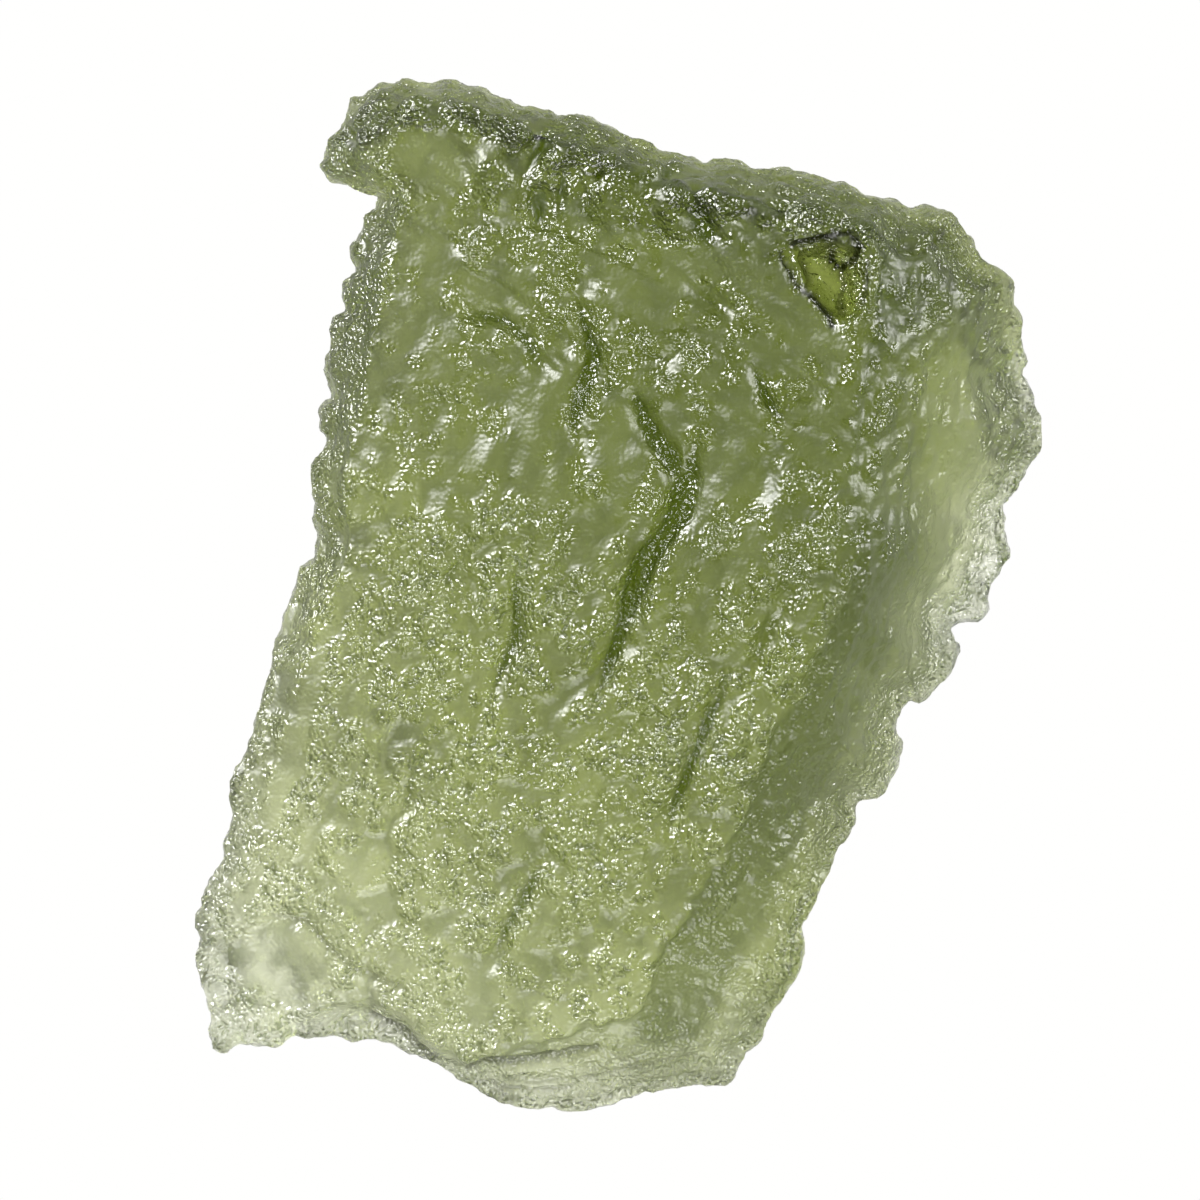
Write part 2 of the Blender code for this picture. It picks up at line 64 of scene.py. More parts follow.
# The rim, seen from above, clockwise from the tip of the hook
RIM = (
    (-8.85, 13.05), (-8.68, 13.55), (-8.30, 14.10), (-8.08, 14.65), (-8.00, 14.97), (-7.65, 15.08),
    (-7.25, 15.34), (-6.95, 15.43), (-6.70, 15.44), (-6.48, 15.64), (-6.15, 15.56), (-5.72, 15.40),
    (-5.35, 15.50), (-4.92, 15.58), (-4.55, 15.47), (-4.05, 15.30), (-3.50, 15.06), (-3.08, 14.98),
    (-2.85, 14.80), (-2.20, 14.62), (-1.72, 14.46), (-1.35, 14.56), (-0.90, 14.44), (-0.20, 14.15),
    (0.25, 13.88), (0.80, 13.66), (1.20, 13.40), (1.70, 13.28), (2.12, 13.24), (2.62, 13.00),
    (3.08, 13.08), (3.70, 12.92), (4.20, 12.78), (4.95, 12.84), (5.60, 12.72), (6.40, 12.58),
    (7.10, 12.38), (7.62, 12.06), (8.25, 11.96), (8.85, 11.64), (9.22, 11.76), (9.75, 11.60),
    (10.22, 11.32), (10.42, 10.92), (10.70, 10.45), (11.02, 10.05), (11.50, 9.88), (11.86, 9.55),
    (11.98, 8.95), (12.22, 8.45), (12.20, 7.90), (12.40, 7.30), (12.26, 6.70), (12.58, 6.22),
    (12.70, 5.75), (12.90, 5.30), (12.80, 4.95), (12.90, 4.58), (12.48, 4.15), (12.32, 3.75),
    (12.02, 3.25), (11.74, 2.80), (11.76, 2.20), (11.78, 1.85), (11.92, 1.32), (11.72, 0.92),
    (11.36, 0.55), (11.24, 0.05), (11.24, -0.42), (10.95, -0.70), (10.50, -0.70), (10.12, -1.00),
    (10.24, -1.32), (10.36, -1.72), (10.08, -2.12), (9.90, -2.46), (9.36, -2.98), (9.12, -3.20),
    (8.66, -3.12), (8.68, -3.38), (8.46, -3.72), (8.52, -4.15), (8.62, -4.55), (8.46, -5.00),
    (8.36, -5.45), (8.04, -6.02), (7.62, -6.12), (7.15, -6.34), (7.18, -6.90), (7.02, -7.28),
    (6.62, -7.66), (6.46, -8.18), (6.05, -8.90), (5.74, -9.50), (5.50, -9.98), (5.60, -10.50),
    (5.52, -11.20), (5.16, -11.90), (4.74, -12.45), (4.46, -12.95), (4.24, -13.55), (3.74, -13.98),
    (3.60, -14.52), (3.15, -14.88), (2.62, -14.88), (2.28, -14.82), (1.70, -14.98), (1.00, -15.04),
    (0.40, -15.24), (-0.20, -15.46), (-0.80, -15.58), (-1.50, -15.62), (-2.20, -15.46), (-3.00, -15.40),
    (-3.70, -15.18), (-4.25, -14.92), (-4.95, -14.56), (-5.55, -14.16), (-6.10, -13.94), (-6.60, -13.72),
    (-7.10, -13.52), (-7.90, -13.50), (-8.60, -13.42), (-9.30, -13.46), (-9.90, -13.40), (-10.45, -13.68),
    (-11.10, -13.60), (-11.62, -13.55), (-12.02, -13.84), (-12.34, -13.38), (-12.28, -12.80),
    (-12.50, -12.05), (-12.70, -11.45), (-12.72, -10.85), (-12.64, -10.35), (-12.84, -9.75),
    (-12.62, -9.15), (-12.42, -8.60), (-12.02, -8.08), (-11.94, -7.45), (-11.70, -6.90), (-11.64, -6.30),
    (-11.72, -5.72), (-11.42, -5.05), (-11.18, -4.35), (-10.98, -3.72), (-10.76, -3.10), (-10.56, -2.52),
    (-10.38, -1.98), (-10.32, -1.32), (-10.06, -0.55), (-9.88, 0.02), (-9.66, 0.42), (-9.62, 0.86),
    (-9.22, 1.02), (-9.06, 1.62), (-9.16, 2.42), (-9.12, 2.90), (-9.28, 3.50), (-9.18, 4.18),
    (-8.92, 4.46), (-8.72, 4.92), (-9.02, 5.06), (-9.00, 5.70), (-8.58, 5.98), (-8.68, 6.50),
    (-8.78, 7.00), (-8.52, 7.48), (-8.60, 8.00), (-8.32, 8.38), (-8.02, 8.58), (-8.20, 9.02),
    (-8.12, 9.45), (-7.84, 9.82), (-7.96, 10.48), (-7.58, 10.96), (-7.62, 11.32), (-7.20, 11.72),
    (-7.06, 12.04), (-7.34, 12.22), (-7.90, 12.32), (-8.24, 12.52), (-8.72, 12.68),
)

# The edge of the main face, where the flanks begin, clockwise from the neck of the hook
FACE_EDGE = (
    (-7.45, 12.95), (-7.55, 13.75), (-7.00, 14.45), (-5.90, 14.80), (-4.70, 14.75), (-3.40, 14.20),
    (-2.20, 13.75), (-0.80, 13.40), (0.60, 12.65), (2.20, 12.15), (4.00, 11.80), (5.70, 11.55),
    (7.20, 11.05), (7.95, 10.20), (7.75, 9.00), (7.55, 7.60), (7.25, 6.20), (7.20, 4.60),
    (7.10, 3.20), (7.20, 1.80), (7.05, 0.60), (6.60, -0.60), (6.05, -1.50), (5.75, -2.50),
    (5.20, -3.40), (4.55, -4.20), (4.35, -5.10), (3.90, -5.90), (3.70, -7.00), (3.15, -7.90),
    (2.50, -8.60), (2.10, -9.40), (1.50, -10.30), (0.98, -11.20), (0.78, -12.10), (0.40, -12.80),
    (-0.80, -12.90), (-2.00, -13.40), (-3.40, -13.80), (-4.60, -14.05), (-5.45, -13.80), (-6.00, -13.25),
    (-6.50, -12.70), (-7.20, -12.42), (-8.20, -12.40), (-9.20, -12.62), (-10.20, -13.00), (-11.10, -13.15),
    (-11.75, -12.85), (-12.00, -12.00), (-12.00, -11.00), (-12.05, -10.00), (-11.85, -9.00), (-11.30, -7.90),
    (-10.95, -6.70), (-10.70, -5.40), (-10.20, -4.00), (-9.75, -2.70), (-9.40, -1.40), (-8.95, -0.30),
    (-8.35, 0.80), (-8.15, 2.20), (-8.20, 3.60), (-7.90, 5.00), (-7.55, 6.40), (-7.35, 7.80),
    (-7.10, 9.20), (-6.85, 10.40), (-6.55, 11.40), (-6.60, 12.20),
)

# Places round the rim: x, y, the heights of the rim's lower and upper corner, and the flank's shape there:
# how hollow it is next to the rim, and how level next to the main face
RIM_PLACES = (
    (-8.8, 13.0, 2.9, 5.0, 0.6, 1.2),
    (-6.0, 15.5, 1.7, 4.6, 0.6, 1.1),
    (0.0, 14.0, 1.0, 5.2, 0.6, 1.1),
    (6.0, 12.6, 0.9, 5.0, 0.6, 1.1),
    (10.4, 11.0, 1.0, 4.8, 0.5, 1.6),
    (12.8, 5.0, 1.2, 2.2, 0.9, 1.6),
    (11.2, 0.0, 1.2, 1.8, 1.5, 1.6),
    (8.5, -4.5, 1.0, 2.4, 0.6, 2.0),
    (5.5, -10.7, 0.5, 4.3, 0.5, 1.5),
    (3.5, -14.6, 0.9, 2.2, 0.6, 1.5),
    (-1.5, -15.6, 1.0, 2.2, 0.8, 1.2),
    (-7.5, -13.5, 0.8, 1.6, 5.0, 0.5),
    (-12.0, -13.8, 1.0, 1.7, 0.9, 1.0),
    (-12.7, -10.5, 1.2, 2.2, 0.8, 1.0),
    (-10.4, -2.0, 1.2, 3.2, 0.7, 1.0),
    (-9.2, 3.5, 1.4, 4.2, 0.7, 1.0),
    (-7.2, 11.8, 2.0, 5.2, 0.7, 1.0),
)

# How those values blend between the places, by the distance from each
PLACE_SOFTNESS = 0.3
PLACE_POWER = 3

# Furrows of the main face: depth, half width, and the line that each follows
FURROWS = (
    (0.55, 0.34, ((2.35, 4.50), (2.15, 3.70), (1.98, 3.30), (1.85, 2.50), (1.45, 1.85), (0.90, 1.15),
                  (0.45, 0.10), (-0.05, -1.40), (-0.55, -2.90))),
    (0.50, 0.28, ((0.50, 6.10), (0.78, 5.30), (1.20, 4.55), (1.65, 3.95), (1.98, 3.40))),
    (0.45, 0.32, ((-1.20, 9.00), (-1.00, 8.20), (-0.70, 7.35), (-0.88, 6.60), (-1.15, 5.90),
                  (-1.30, 5.20), (-1.15, 4.60))),
    (0.35, 0.26, ((-4.80, 8.75), (-4.20, 8.42), (-3.35, 8.30), (-2.70, 7.70), (-2.45, 7.05),
                  (-1.85, 6.70))),
    (0.35, 0.28, ((-2.85, 1.40), (-3.05, 0.20), (-3.05, -1.20), (-3.65, -2.60), (-3.95, -3.40))),
    (0.40, 0.30, ((3.35, -2.40), (2.75, -3.60), (2.25, -4.90), (1.70, -6.20), (1.50, -7.20))),
    (0.35, 0.28, ((-2.10, -7.70), (-2.70, -8.90), (-3.30, -9.90), (-3.80, -11.10))),
    (0.40, 0.22, ((4.05, 6.95), (4.30, 6.20), (4.60, 5.60), (5.05, 5.15))),
    (0.28, 0.24, ((0.40, 7.95), (0.85, 7.20), (1.55, 7.05), (2.00, 7.45))),
    (0.28, 0.22, ((2.20, 9.35), (2.65, 8.95), (3.10, 8.55), (3.35, 8.05))),
    (0.28, 0.28, ((5.10, 0.10), (4.40, -1.30), (3.90, -2.60))),
    (0.28, 0.26, ((-5.60, -4.20), (-6.20, -5.60), (-6.60, -7.00))),
    (0.25, 0.20, ((-10.40, -9.70), (-9.40, -9.95), (-8.80, -10.50), (-8.25, -11.05), (-7.40, -11.55),
                  (-6.45, -12.00))),
    (0.15, 0.20, ((-4.70, -14.35), (-3.60, -14.30), (-2.40, -14.15), (-1.40, -14.00),
                  (-0.60, -13.80))),
)

# Hollows of the main face: x, y, depth, half length, half width, and the long axis' angle from +X
HOLLOWS = (
    (-3.65, 9.05, 0.25, 1.50, 0.75, -18),
    (-2.40, 13.20, 0.50, 0.85, 0.32, 60),
    (-2.30, 11.65, 0.50, 0.75, 0.34, 82),
    (-1.68, 12.20, 0.45, 0.65, 0.20, 82),
    (-0.60, 12.50, 0.45, 0.35, 0.28, 60),
    (1.40, 12.55, 0.45, 0.45, 0.25, 60),
    (-1.75, 7.70, 0.20, 0.90, 0.55, -60),
    (-3.90, 5.60, 0.20, 1.60, 1.00, 60),
    (0.10, 5.00, 0.18, 1.10, 0.70, 80),
    (-5.40, 13.00, 0.20, 1.40, 0.90, -15),
    (1.00, 10.70, 0.20, 0.90, 0.40, -40),
    (0.25, 2.70, 0.18, 1.50, 0.60, 65),
    (-4.70, 0.40, 0.18, 1.10, 0.70, 70),
    (4.10, 3.20, 0.18, 1.50, 0.60, 60),
    (5.60, 6.40, 0.18, 1.10, 0.50, -35),
    (-10.30, -10.90, 0.20, 1.30, 0.90, -35),
    (3.55, 11.10, 0.20, 0.80, 0.35, -30),
)

# Ledges: how far the surface drops on the left of each line, the width of the drop, and how far it lasts
LEDGES = (
    (0.35, 0.30, 2.2, ((-7.40, 12.05), (-6.00, 11.90), (-5.00, 11.60), (-3.60, 11.10), (-1.70, 10.75),
                       (-0.50, 10.25), (0.80, 9.55), (2.50, 8.65), (5.00, 7.40), (7.10, 6.00))),
    (0.22, 0.28, 1.0, ((-6.60, 10.60), (-5.00, 10.35), (-3.40, 9.95), (-1.40, 9.45), (0.30, 8.75),
                       (1.90, 7.95), (3.60, 7.00), (5.20, 6.20))),
    (0.18, 0.28, 1.2, ((-5.20, 8.60), (-4.50, 8.30), (-3.00, 7.90), (-1.70, 7.30), (-1.20, 6.60))),
)

# The fresh chip beside the top of the wide flank: its corners, its depth, the width of its sloping edge,
# and the size and slant of its fracture faces
CHIP = ((4.70, 10.35), (6.10, 10.75), (7.25, 10.55), (7.45, 9.40), (7.35, 8.30), (6.60, 7.90), (5.60, 9.00))
CHIP_DEPTH = 1.2
CHIP_EDGE = 0.7
CHIP_FACET = 1.1
CHIP_SLANT = 0.9
CHIP_LEANS = 7.0  # spreads the faces' middles, so that each leans its own way
GLOSS_FADE = 0.4
GLOSS_ABOVE = 4.0  # so that the underside below the chip stays etched

# Steps in the flank at the lower end, where layers of the glass come to the surface: how far apart they are,
# how they slant and bow, and between which values they fade out, across the layers and towards the arch
LAYER_STEP = 0.45
LAYER_SLANT = 0.16
LAYER_BOW = 0.010
LAYER_BOW_CENTRE = -1.0
LAYER_DEPTH = 0.20
LAYER_TREAD = 0.72  # of each step is the rounded tread, and the rest the riser
LAYER_MIDDLE = 0.36
LAYERS_ACROSS = (-13.5, -12.6)
LAYERS_ALONG = (-6.2, -4.6)

# The etched skin: knobs on knobs on slow swells. Directions are in degrees from +X
KNOB_SPACING = 1.30
KNOB_HEIGHT = 0.22
KNOB_STRETCH = 1.25
KNOB_DIRECTION = 62.0
SMALL_KNOB_SPACING = 0.65
SMALL_KNOB_HEIGHT = 0.12
SMALL_KNOB_STRETCH = 1.1
KNOB_MIDDLE = 0.6  # of a knob's height lies below the mean surface
KNOB_FULLNESS = 1.25
KNOB_SHIFT = 0.3  # how far a slow noise moves the knobs, so that they don't look alike
KNOB_SHIFT_SIZE = 0.9
SWELL_SIZE = 2.8
SWELL_HEIGHT = 0.14

# Long streaks and ripples, which are drawn out this many times along their direction
LONG_STRETCH = 3.5
STREAK_SPACING = 0.70
STREAK_HEIGHT = 0.35
STREAK_DIRECTION = 108.0
RIPPLE_HEIGHT = 0.16
LEDGE_RIPPLE_SPACING = 0.50
LEDGE_RIPPLE_DIRECTION = -32.0
LONG_RIPPLE_SPACING = 0.75
LONG_RIPPLE_DIRECTION = 76.0

# The rim's grit and the flutes that run up from it, the flank's grain, and the toothed step of the ridge
GRIT_SIZE = 0.30
GRIT_HEIGHT = 0.09
GRIT_REACH = 0.6
FLUTE_BEND = 0.2
FLUTE_SPACING = 0.55
FLUTE_DEPTH = 0.10
FLUTE_REACH = 1.2
FLANK_GRAIN_SIZE = 0.35
FLANK_GRAIN_HEIGHT = 0.10
RIDGE_TOOTH_SIZE = 0.55
RIDGE_TOOTH = 0.3
RIDGE_STEP = 0.30
RIDGE_FADE = 0.09
RIGHT_FADE = 0.4
CRACK_DEPTH = 0.15
CRACK_FADE = 0.08

# Patches of denser pits, and the sizes of the painted shade on broken places along the rim and of the painted
# black specks
PATCH_SIZE = 1.7
PATCH_EDGE_SIZE = 0.35
BROKEN_SIZE = 0.5
SPECK_SIZE = 0.40

# Where each noise is taken, so that no two of them repeat each other
SEED = {
    "knobs": 0.0,
    "small knobs": 3.0,
    "chip": 4.0,
    "streaks": 5.0,
    "patches": 9.0,
    "patch edges": 13.0,
    "ridge teeth": 23.0,
    "flutes": 41.0,
    "ledge ripples": 51.0,
    "long ripples": 61.0,
    "grit": 71.0,
    "broken edge": 81.0,
    "flank grain": 91.0,
    "specks": 101.0,
}
SHIFT_SEEDS = (0.0, 17.0, 31.0)

# The right flank is what lies outside the face's edge and right of this line, which runs up the stone
RIGHT_OF = ((-4.6, -16.5), (-4.3, -14.2), (-3.0, -13.4), (0.6, -12.4), (8.0, 11.4), (8.6, 14.0))

# Lines of the skin's zones: the rough slope between the face's edge and the rim at the upper end, and the
# streaked band below it
ROUGH_SLOPE = ((-7.9, 14.3), (-6.0, 15.2), (-3.2, 14.5), (0.0, 13.4), (3.0, 12.4), (6.0, 12.0), (9.0, 11.3))
STREAKED_BAND = ((-3.4, 12.5), (-1.2, 12.1), (1.2, 11.7), (3.2, 11.2), (4.4, 10.8))

# On the right flank: its shoulder below the chip, its rim above and below the widest place, and the band
# next to the ridge, where it is thickest. The shoulder, the upper rim and that band get painted shade; the
# shoulder and both rims also mark where the flank is pitted
SHOULDER = ((7.6, 2.2), (8.0, 4.6), (8.2, 6.6), (8.6, 9.0))
UPPER_RIM = ((9.2, 11.2), (10.6, 9.6), (11.5, 7.2), (12.1, 4.6))
LOWER_RIM = (
    (11.5, 2.0), (10.8, -0.4), (9.7, -2.2), (8.1, -4.6), (6.7, -6.9), (5.3, -9.8), (4.9, -11.6),
    (4.0, -13.6),
)
THICK_FLANK = ((1.6, -12.6), (2.4, -10.6), (4.4, -7.2), (6.0, -3.9), (7.6, -0.8), (8.2, 1.5))

# The thin edge at the left and on below the arch, which is kept free of the painted shade of steep places, so
# that it stays pale where light comes through it
PALE_EDGE = ((-9.4, 0.0), (-10.6, -4.0), (-11.4, -7.0), (-12.2, -10.0), (-11.4, -13.0), (-6.6, -13.2))

# How far each zone reaches to either side of its line, and the width over which it fades
STRIPS = {
    "rough slope": (0.75, 0.5, ROUGH_SLOPE),
    "streaked band": (0.60, 0.6, STREAKED_BAND),
    "shoulder": (0.50, 0.8, SHOULDER),
    "upper rim": (0.50, 0.7, UPPER_RIM),
    "thick flank": (0.90, 1.0, THICK_FLANK),
    "pale edge": (0.80, 0.8, PALE_EDGE),
}

# The same for where the right flank is pitted like the face, and not satin
PITTED_FLANK = ((1.10, 0.7, SHOULDER), (0.70, 0.7, UPPER_RIM), (0.35, 0.7, LOWER_RIM))

# Cracks: half width, darkness, which sets both the painted shade in the crack and how deep it is cut, and the
# line that each follows
CRACKS = (
    (0.06, 0.75, ((-4.60, -14.38), (-4.10, -14.26), (-3.45, -14.28), (-2.60, -14.18), (-1.90, -14.10),
                 (-1.20, -13.92), (-0.65, -13.78))),
    (0.06, 0.8, ((-7.45, -12.84), (-6.95, -12.95), (-6.50, -13.15), (-6.05, -13.60), (-5.60, -14.00))),
    (0.05, 0.6, ((-7.30, -13.12), (-6.60, -13.32), (-6.10, -13.72), (-5.75, -14.10))),
    (0.03, 0.5, ((-10.30, -9.62), (-9.40, -9.85), (-8.80, -10.45), (-8.25, -11.05), (-7.40, -11.50),
                 (-6.55, -11.85))),
    (0.04, 0.6, ((-4.20, -14.80), (-3.30, -15.02), (-2.10, -15.12), (-1.40, -15.05))),
    (0.03, 0.5, ((-3.60, -14.70), (-2.20, -14.85), (-0.80, -14.78), (0.60, -14.42), (2.30, -14.05))),
    (0.10, 1.0, ((4.85, 10.15), (5.15, 9.75), (5.30, 9.30), (5.85, 8.95), (6.25, 8.55), (6.40, 8.05))),
    (0.10, 1.0, ((5.25, 10.38), (5.70, 10.52), (6.30, 10.66), (6.85, 10.74), (7.05, 10.35), (6.90, 9.90),
                 (6.55, 9.78), (6.30, 10.10), (6.45, 10.50))),
    (0.05, 0.8, ((5.55, 9.10), (5.80, 9.45), (5.70, 9.85), (5.45, 10.15))),
    (0.05, 0.8, ((6.60, 9.70), (6.75, 9.30), (6.60, 8.90), (6.70, 8.50))),
    (0.05, 0.8, ((7.30, 9.90), (7.32, 9.30), (7.20, 8.80))),
)

# Places on the upper side where the skin is satin and nearly free of pits: x, y, half length, half width,
# and the long axis' angle from +X
SATIN_PATCHES = (
    (-3.65, 9.05, 1.4, 0.75, -18),
    (0.30, 4.60, 2.3, 0.75, 82),
    (3.10, 4.20, 3.2, 0.55, 68),
    (-5.40, 13.10, 1.5, 0.9, -15),
    (-10.10, -11.00, 1.5, 1.3, -35),
    (-9.70, -4.20, 3.8, 0.40, 72),
    (-2.30, 6.00, 1.9, 0.8, 70),
    (4.90, 8.60, 2.0, 0.5, -38),
)

# The mesh: the spacing of the points that the form is worked out at, and of those that carry the skin
LATTICE = 0.16
SKIN_VOXEL = 0.145

# Painted shade: how dark each kind of fold and zone is painted, from 0 to 1, which is the full painted shade
# tint
DEPTH_OF_SHADE = {
    "valley": 0.50,
    "furrow": 1.0,
    "oval pit": 1.0,
    "streak": 1.0,
    "ripple": 0.34,
    "broken edge": 0.60,
    "steep place": 0.50,
    "rough slope": 0.75,
    "shoulder": 0.55,
    "upper rim": 0.80,
    "foot of the ridge": 0.50,
    "thick flank": 0.75,
    "top of the flank": 0.85,
}

# Painted shade: how black the specks painted between the pits are where the skin is roughest
SPECK_SHADE_STRENGTH = {"rough slope": 0.60, "streaked band": 0.30, "top of the flank": 0.40, "upper rim": 0.60}

# The finish of the glass
GLASS_IOR = 1.49  # moldavite's, between 1.48 and 1.54
GLASS_TINT = "#bfc94c"
GLASS_DENSITY = 440.0  # per metre
# The green of the darkest painted shade, in folds, pits and darker zones
PAINTED_SHADE_TINT = "#5c6c1e"
# The near black of the painted shade in cracks and specks
CRACK_SHADE_TINT = "#181a0c"
LUMP_SPACING = 0.42
PIT_SPACING = 0.12
GRAIN_DEPTH = 0.32
PIT_BOTTOM = (0.50, 0.40)  # the grain's level at a pit's edge and at its bottom
# How dark the painted shade at the bottoms of the pits is
PIT_SHADE = 0.75
SATIN_DETAIL = 0.40  # of the pits' strength within the grain that is left on the satin skin
SATIN_SHARE = 0.20  # of the grain's depth that is left there
ETCHED_ROUGHNESS = 0.28
FROSTED_ROUGHNESS = 0.46
FRESH_ROUGHNESS = 0.03

# The floor, in metres. The gap under the stone keeps its foot and the floor from sharing a plane
FLOOR_COLOUR = "#fffffe"
FLOOR_SIZE = 1.6
FLOOR_GAP = 0.00005

# The camera's view of the stone, and its lens and clipping distance
VIEW_CENTRE = (-0.53, -0.09)
VIEW_WIDTH = 36.36
VIEW_PLANE = 2.5  # the height at which the view has that width
LENS = 300.0
SENSOR = 36.0
NEAR_CLIP = 0.01  # metres

# The lights: name, place and size in metres, and power in watts
LIGHTS = (
    ("left_light", (-0.34, 0.24, 0.23), 0.24, 10.0),
    ("right_light", (0.38, 0.10, 0.22), 0.20, 4.0),
    ("near_light", (-0.04, -0.42, 0.22), 0.20, 2.5),
)

# The tent: the heights, from 0 to 1 straight up, between which it darkens, and how bright it is there
TENT_HEIGHTS = (0.7, 0.97)
TENT_STRENGTH = (0.15, 0.05)


def smoothstep(low, high, value):
    """0 below low, 1 above high, and a smooth rise between them."""
    share = np.clip((value - low) / (high - low), 0.0, 1.0)
    return share * share * (3.0 - 2.0 * share)


def closed_curve(points, step):
    """Points about a step apart on the smooth closed curve through the given ones (Catmull-Rom)."""
    given = np.array(points, float)
    before = np.roll(given, 1, axis=0)
    after = np.roll(given, -1, axis=0)
    further = np.roll(given, -2, axis=0)
    curve = []
    for a, b, c, d in zip(before, given, after, further):
        count = max(1, round(float(np.linalg.norm(c - b)) / step))
        for t in np.arange(count) / count:
            straight = 2.0 * b + (c - a) * t
            bent = (2.0 * a - 5.0 * b + 4.0 * c - d) * t**2 + (3.0 * b - a - 3.0 * c + d) * t**3
            curve.append((straight + bent) / 2.0)
    return np.array(curve)


def near_line(points, line, closed=False):
    """Each point's distance to a line, its place along the line, and 1 on its left or -1 on its right."""
    line = np.array(line, float)
    starts = line if closed else line[:-1]
    ends = np.roll(line, -1, axis=0) if closed else line[1:]
    along = ends - starts
    lengths = np.linalg.norm(along, axis=1)
    begins = np.cumsum(lengths) - lengths
    distance, place, side = [], [], []
    for few in np.array_split(points, len(points) // 2000 + 1):
        offset = few[:, None, :] - starts[None, :, :]
        share = np.clip((offset * along).sum(2) / lengths**2, 0.0, 1.0)
        gap = np.linalg.norm(offset - share[:, :, None] * along, axis=2)
        best = gap.argmin(axis=1)
        rows = np.arange(len(few))
        distance.append(gap[rows, best])
        place.append(begins[best] + share[rows, best] * lengths[best])
        turn = along[best, 0] * offset[rows, best, 1] - along[best, 1] * offset[rows, best, 0]
        side.append(np.where(turn > 0.0, 1.0, -1.0))
    return np.concatenate(distance), np.concatenate(place), np.concatenate(side)


def inside(points, outline):
    """True for each point inside a closed outline."""
    x, y = points.T
    found = np.zeros(len(points), bool)
    for (ax, ay), (bx, by) in zip(outline, np.roll(outline, -1, axis=0)):
        if ay != by:
            found ^= ((ay > y) != (by > y)) & (x < ax + (y - ay) * (bx - ax) / (by - ay))
    return found


def turned(points, degrees):
    """The points in axes turned by this angle about +Z."""
    angle = math.radians(degrees)
    result = points.copy()
    result[:, 0] = points[:, 0] * math.cos(angle) + points[:, 1] * math.sin(angle)
    result[:, 1] = points[:, 1] * math.cos(angle) - points[:, 0] * math.sin(angle)
    return result


def rim_fields(points):
    """The heights of the rim's corners and the flank's shape at each point, blended between places."""
    places = np.array(RIM_PLACES)
    gap = np.linalg.norm(points[:, None, :] - places[None, :, :2], axis=2)
    weight = 1.0 / (gap + PLACE_SOFTNESS) ** PLACE_POWER
    return (weight @ places[:, 2:]).T / weight.sum(axis=1)


def face_height(points):
    """The main face's height without its sculpture. It runs on smoothly past its own edge."""
    x, y = points.T
    fall = FACE_DOME * ((x - DOME_CENTRE[0]) ** 2 + DOME_SHARE * (y - DOME_CENTRE[1]) ** 2)
    return FACE_HEIGHT + FACE_RISE_X * x + FACE_RISE_Y * y - fall


def furrow_depth(points):
    """How deep the furrows cut at each point. They taper to both ends."""
    cut = np.zeros(len(points))
    for depth, half_width, line in FURROWS:
        distance, place, _ = near_line(points, line)
        length = np.linalg.norm(np.diff(np.array(line), axis=0), axis=1).sum()
        taper = np.sqrt(smoothstep(-0.15, 0.35, np.minimum(place, length - place) / length))
        width = half_width * (0.4 + 0.6 * taper)
        cut = np.maximum(cut, depth * taper * np.exp(-((distance / width) ** 2)))
    return cut


def hollow_depth(points):
    """How deep the oval hollows cut at each point."""
    cut = np.zeros(len(points))
    for x, y, depth, half_length, half_width, degrees in HOLLOWS:
        place = turned(points - (x, y), degrees) / (half_length, half_width)
        cut = np.maximum(cut, depth * (1.0 - smoothstep(0.35, 1.15, np.linalg.norm(place, axis=1))))
    return cut


def ledge_drop(points):
    """How far the ledges lower the surface at each point: most just left of the line, less further off."""
    drop = np.zeros(len(points))
    for depth, width, reach, line in LEDGES:
        distance, place, side = near_line(points, line)
        length = np.linalg.norm(np.diff(np.array(line), axis=0), axis=1).sum()
        taper = smoothstep(0.0, 0.15, np.minimum(place, length - place) / length)
        step = smoothstep(-width / 2.0, width / 2.0, side * distance)
        drop += depth * taper * step * np.exp(-distance / reach)
    return drop


def chip_depth(points):
    """How deep the fresh chip cuts at each point: a scoop of flat fracture faces."""
    to_edge = near_line(points, CHIP, closed=True)[0]
    share = np.where(inside(points, CHIP), smoothstep(0.0, CHIP_EDGE, to_edge), 0.0)
    slant = []
    for x, y in points / CHIP_FACET:
        middle = noise.voronoi(Vector((x, y, SEED["chip"])))[1][0]
        lean = noise.cell_vector(middle * CHIP_LEANS)
        slant.append((x - middle.x) * (lean.x - 0.5) + (y - middle.y) * (lean.y - 0.5))
    return share * (CHIP_DEPTH + CHIP_SLANT * np.array(slant))


def layer_steps(points, on_face):
    """Rounded treads and steep risers, along the layers of the glass, in the flank at the lower end."""
    x, y = points.T
    across = y - LAYER_SLANT * x - LAYER_BOW * (x - LAYER_BOW_CENTRE) ** 2
    share = np.mod(across / LAYER_STEP, 1.0)
    step = share - smoothstep(LAYER_TREAD, 1.0, share) - LAYER_MIDDLE
    there = (1.0 - smoothstep(*LAYERS_ACROSS, across)) * smoothstep(*LAYERS_ALONG, x)
    return np.where(on_face, 0.0, LAYER_DEPTH * there * step)


def top_height(points, rim):
    """The height of the upper surface at each point, without the etched skin."""
    to_rim = near_line(points, rim, closed=True)[0]
    on_face = inside(points, FACE_EDGE)
    to_face = np.where(on_face, 0.0, near_line(points, FACE_EDGE, closed=True)[0])
    low, high, hollow, level = rim_fields(points)
    share = to_rim / (to_rim + to_face + 1e-6)
    climb = share**hollow / (share**hollow + (1.0 - share) ** level)
    height = high + (face_height(points) - high) * climb
    sculpture = layer_steps(points, on_face) - furrow_depth(points) - hollow_depth(points)
    sculpture -= ledge_drop(points) + chip_depth(points)
    height += smoothstep(0.0, EDGE_MARGIN, to_rim) * sculpture
    return np.maximum(height, low + EDGE_THICKNESS)


